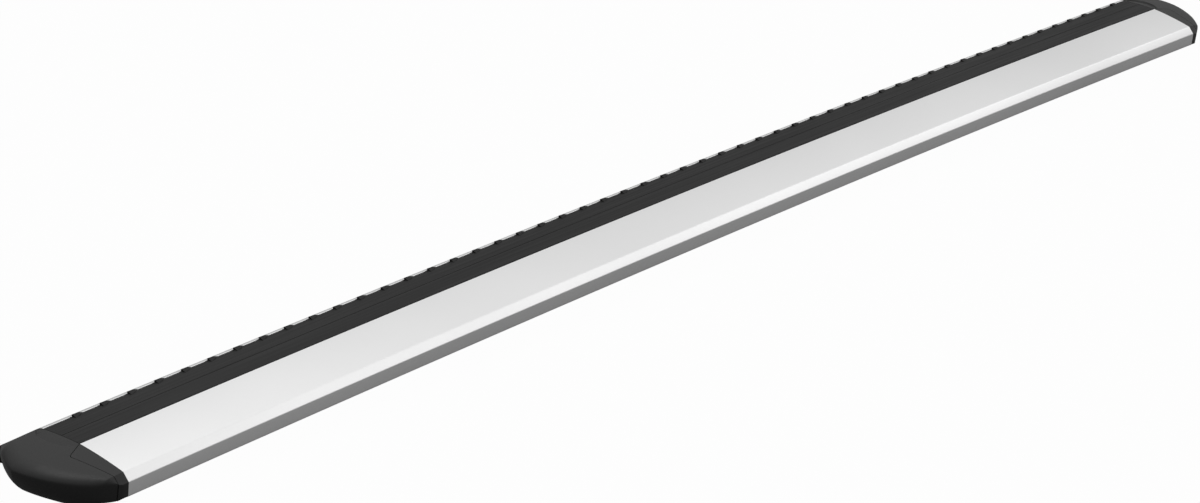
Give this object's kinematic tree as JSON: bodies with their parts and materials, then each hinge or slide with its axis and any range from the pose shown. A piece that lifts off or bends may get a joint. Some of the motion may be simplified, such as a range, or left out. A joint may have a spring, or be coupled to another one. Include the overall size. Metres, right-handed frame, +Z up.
{
  "type": "roof rack crossbar",
  "caption": "Aerodynamic aluminium roof rack crossbar of wing section, with a T-track under rubber strips, an underside foot slot and hinged end caps.",
  "frame": {"origin": "middle of the bar's length and width, at the height of its lowest point", "axes": "+X along the bar, +Y towards its leading edge, +Z up"},
  "size_m": [1.1542, 0.08, 0.0326],
  "materials": {
    "anodised_aluminium": "satin",
    "strip_rubber": "matte",
    "cap_plastic": "fine-textured",
    "plain_steel": "plain"
  },
  "bodies": {
    "bar": {"bar_extrusion": "anodised_aluminium", "front_slot_strip": "strip_rubber", "rear_slot_strip": "strip_rubber", "underside_slot_strip": "strip_rubber", "left_cap_base": "cap_plastic", "left_hinge_pins": "plain_steel", "left_cap_screws": "plain_steel", "right_cap_base": "cap_plastic", "right_hinge_pins": "plain_steel", "right_cap_screws": "plain_steel"},
    "left_lid": {"left_cap_lid": "cap_plastic"},
    "right_lid": {"right_cap_lid": "cap_plastic"}
  },
  "joints": [
    {"name": "left_lid_hinge", "type": "hinge", "parent": "bar", "child": "left_lid", "pos_m": [-0.54944, 0.0038, 0.00266], "axis": [0, -1, 0], "range_deg": [0, 90]},
    {"name": "right_lid_hinge", "type": "hinge", "parent": "bar", "child": "right_lid", "pos_m": [0.54944, 0.0038, 0.00266], "axis": [0, 1, 0], "range_deg": [0, 90]}
  ]
}
